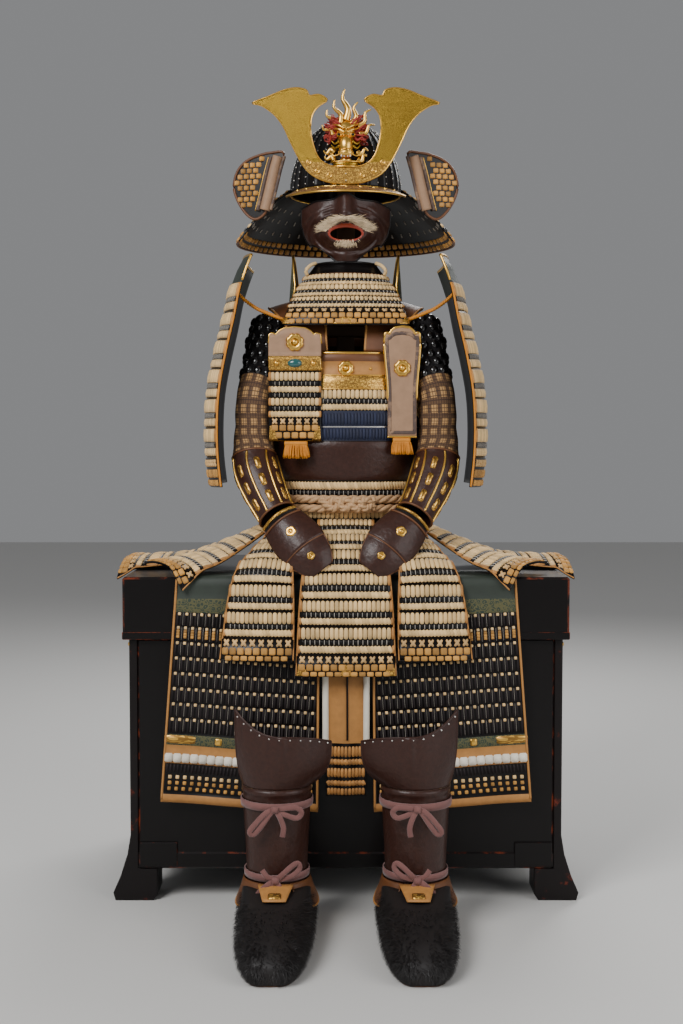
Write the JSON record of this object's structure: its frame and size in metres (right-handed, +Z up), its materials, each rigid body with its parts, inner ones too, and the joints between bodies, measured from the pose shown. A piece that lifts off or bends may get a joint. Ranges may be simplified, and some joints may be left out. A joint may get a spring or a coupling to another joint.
{
  "type": "samurai armour set on an armour chest and stand",
  "caption": "Full laced lamellar armour, worn form without a wearer, seated on its black lacquered storage chest.",
  "frame": {"origin": "the floor under the middle of the whole set's box", "axes": "+X to the viewer's right, -Y towards the viewer where the armour faces, +Z up"},
  "size_m": [0.8562, 0.9, 1.4804],
  "materials": {
    "black_lacquer": "black urushi lacquer, slightly worn and glossy",
    "dark_wood": "plain stained wood, matt",
    "laced_iron": "russet iron laced with cream and navy silk",
    "brown_lacquered_iron": "russet brown lacquered iron with embossed relief",
    "gilt_metal": "old gilt copper, engraved",
    "stencilled_leather": "smoked deer leather with a stencilled pattern",
    "cream_laced_lames": "lacquered lames laced close with cream silk braid",
    "indigo_laced_plates": "lacquered plates laced with dark indigo silk on brocade",
    "hemp_rope": "laid hemp rope",
    "orange_silk": "twisted orange silk",
    "sleeve_cloth": "brocade sleeve covered with black mail",
    "velvet_ribbon": "mauve velvet ribbon",
    "bear_fur": "black bear fur"
  },
  "bodies": {
    "root": {"chest_lid": "black_lacquer", "chest_body": "black_lacquer", "chest_leg_front_left": "black_lacquer", "chest_leg_front_right": "black_lacquer", "chest_leg_back_left": "black_lacquer", "chest_leg_back_right": "black_lacquer", "cuirass_front": "laced_iron", "cuirass_back": "laced_iron", "shoulder_strap_left": "stencilled_leather", "shoulder_strap_right": "stencilled_leather", "collar_plate_left": "gilt_metal", "collar_plate_right": "gilt_metal", "tasset_front_left": "cream_laced_lames", "tasset_front_right": "cream_laced_lames", "tasset_side_front_left": "cream_laced_lames", "tasset_side_front_right": "cream_laced_lames", "tasset_side_rear_left": "cream_laced_lames", "tasset_side_rear_right": "cream_laced_lames", "tasset_back_left": "cream_laced_lames", "tasset_back_right": "cream_laced_lames", "tasset_front_centre": "cream_laced_lames", "rope_belt": "hemp_rope", "chest_plate_laced": "cream_laced_lames", "chest_plate_smooth": "stencilled_leather", "tassel_left": "orange_silk", "tassel_right": "orange_silk", "sleeve_left": "sleeve_cloth", "sleeve_right": "sleeve_cloth", "forearm_left": "brown_lacquered_iron", "forearm_right": "brown_lacquered_iron", "hand_guard_left": "brown_lacquered_iron", "hand_guard_right": "brown_lacquered_iron", "shoulder_guard_left": "cream_laced_lames", "shoulder_guard_right": "cream_laced_lames", "shoulder_cord_left": "orange_silk", "shoulder_cord_right": "orange_silk", "thigh_guard_left": "indigo_laced_plates", "thigh_guard_right": "indigo_laced_plates", "thigh_middle_strip": "stencilled_leather", "shin_guard_left": "brown_lacquered_iron", "shin_guard_right": "brown_lacquered_iron", "knee_plate_left": "brown_lacquered_iron", "knee_plate_right": "brown_lacquered_iron", "knee_tie_left": "velvet_ribbon", "knee_tie_right": "velvet_ribbon", "ankle_tie_left": "velvet_ribbon", "ankle_tie_right": "velvet_ribbon", "boot_left": "bear_fur", "boot_right": "bear_fur", "helmet_bowl": "black_lacquer", "helmet_peak": "stencilled_leather", "neck_guard": "cream_laced_lames", "helmet_wing_left": "stencilled_leather", "helmet_wing_right": "stencilled_leather", "helmet_horns": "gilt_metal", "helmet_crest": "gilt_metal", "face_mask": "brown_lacquered_iron", "throat_guard": "cream_laced_lames", "stand": "dark_wood"}
  },
  "joints": []
}
